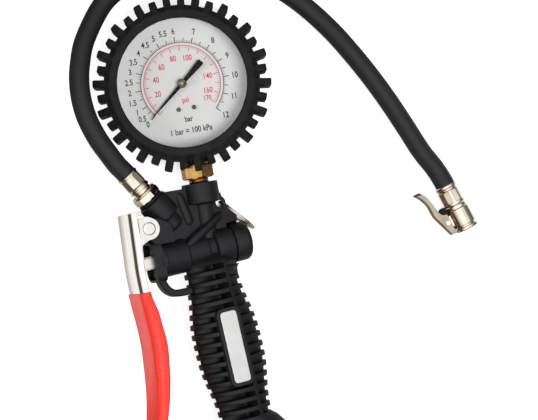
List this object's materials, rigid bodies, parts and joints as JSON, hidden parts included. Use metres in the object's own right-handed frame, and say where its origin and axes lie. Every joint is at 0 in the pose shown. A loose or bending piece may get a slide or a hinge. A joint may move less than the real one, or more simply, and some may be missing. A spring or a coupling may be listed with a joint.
{
  "type": "tyre inflator",
  "caption": "Hand-held tyre inflator: rubber-booted dial gauge over a finned pistol grip with a squeeze lever, inlet plug, hose and clip-on chuck.",
  "frame": {"origin": "centre of the flat back of the gauge's rubber boot, on which the inflator lies", "axes": "+Y runs up the stem to the top of the dial, +Z is square to the dial and up, +X is to the right of the dial"},
  "size_m": [0.2181, 0.3195, 0.0497],
  "materials": {
    "boot_rubber": "moulded, slightly dusty satin",
    "hose_rubber": "extruded satin",
    "seal_rubber": "moulded",
    "black_nylon": "moulded, fine grain, satin",
    "red_pvc": "dipped, soft gloss",
    "chrome_plate": "bright",
    "nickel_plate": "bright nickel, warm",
    "brass": "machined",
    "gauge_steel": "plain",
    "spring_steel": "drawn wire",
    "dial_white": "printed, matt",
    "pointer_black": "matt",
    "spacer_white": "moulded",
    "lens_glass": "polished",
    "plate_silver": "satin foil"
  },
  "bodies": {
    "inflator_body": {"gauge_boot": "boot_rubber", "gauge_case": "gauge_steel", "gauge_bezel": "gauge_steel", "gauge_lens": "lens_glass", "lens_spacer": "spacer_white", "dial_plate": "dial_white", "dial_screw_left": "brass", "dial_screw_right": "brass", "movement_back_plate": "brass", "movement_front_plate": "brass", "bourdon_tube": "brass", "gauge_socket": "brass", "body_moulding": "black_nylon", "valve_end_cap": "black_nylon", "end_cap_oring": "seal_rubber", "valve_seat": "brass", "valve_spring": "spring_steel", "gland_nut": "nickel_plate", "name_plate": "plate_silver", "inlet_bush": "brass", "inlet_plug": "nickel_plate", "lever_pin": "nickel_plate", "hose_seal": "seal_rubber", "hose_tail": "nickel_plate", "hose_ferrule": "nickel_plate", "hose": "hose_rubber", "chuck_ferrule": "nickel_plate", "chuck_tail": "nickel_plate", "chuck_body": "nickel_plate", "chuck_seal": "seal_rubber", "chuck_clip_pin": "nickel_plate"},
    "trigger": {"lever": "chrome_plate", "lever_grip": "red_pvc"},
    "valve_train": {"plunger": "nickel_plate", "valve_poppet": "brass"},
    "pointer_spindle": {"pinion_arbor": "gauge_steel", "pointer": "pointer_black", "pointer_hub": "brass"},
    "sector": {"sector_gear": "brass"},
    "link": {"tube_link": "gauge_steel"},
    "ring": {"hanging_ring": "nickel_plate"},
    "clip": {"chuck_clip": "nickel_plate"}
  },
  "joints": [
    {"name": "trigger_squeeze", "type": "hinge", "parent": "inflator_body", "child": "trigger", "pos_m": [-0.03578, -0.07795, 0.03242], "axis": [0.342, 0, 0.9397], "range_deg": [0, 12], "stiffness_Nm_per_rad": 0.9, "springref_deg": -8.59},
    {"name": "valve_slide", "type": "slide", "parent": "inflator_body", "child": "valve_train", "axis": [0.938, 0.0593, -0.3414], "range_m": [0, 0.00403], "deforming": ["valve_spring"]},
    {"name": "pointer_turn", "type": "hinge", "parent": "inflator_body", "child": "pointer_spindle", "pos_m": [0, 0, 0], "axis": [0, 0, -1], "range_deg": [0, 265], "stiffness_Nm_per_rad": 0.001},
    {"name": "sector_turn", "type": "hinge", "parent": "inflator_body", "child": "sector", "pos_m": [0, -0.015, 0], "axis": [0, 0, 1], "range_deg": [0, 29.45]},
    {"name": "link_turn", "type": "hinge", "parent": "sector", "child": "link", "pos_m": [0.0075, -0.01715, 0], "axis": [0, 0, -1], "range_deg": [0, 29.45]},
    {"name": "ring_swing", "type": "hinge", "parent": "inflator_body", "child": "ring", "pos_m": [0.00916, -0.06994, 0.01787], "axis": [0.342, 0, 0.9397], "range_deg": [-3, 18]},
    {"name": "clip_pivot", "type": "hinge", "parent": "inflator_body", "child": "clip", "pos_m": [0.13769, -0.10389, 0.007], "axis": [0, 0, -1], "range_deg": [0, 20], "stiffness_Nm_per_rad": 0.12, "springref_deg": -5.73}
  ],
  "couplings": [
    {"joint": "valve_slide", "follows": "trigger_squeeze", "m_per_rad": 0.0192},
    {"joint": "sector_turn", "follows": "pointer_turn", "ratio": 0.11111},
    {"joint": "link_turn", "follows": "pointer_turn", "ratio": 0.11111}
  ]
}
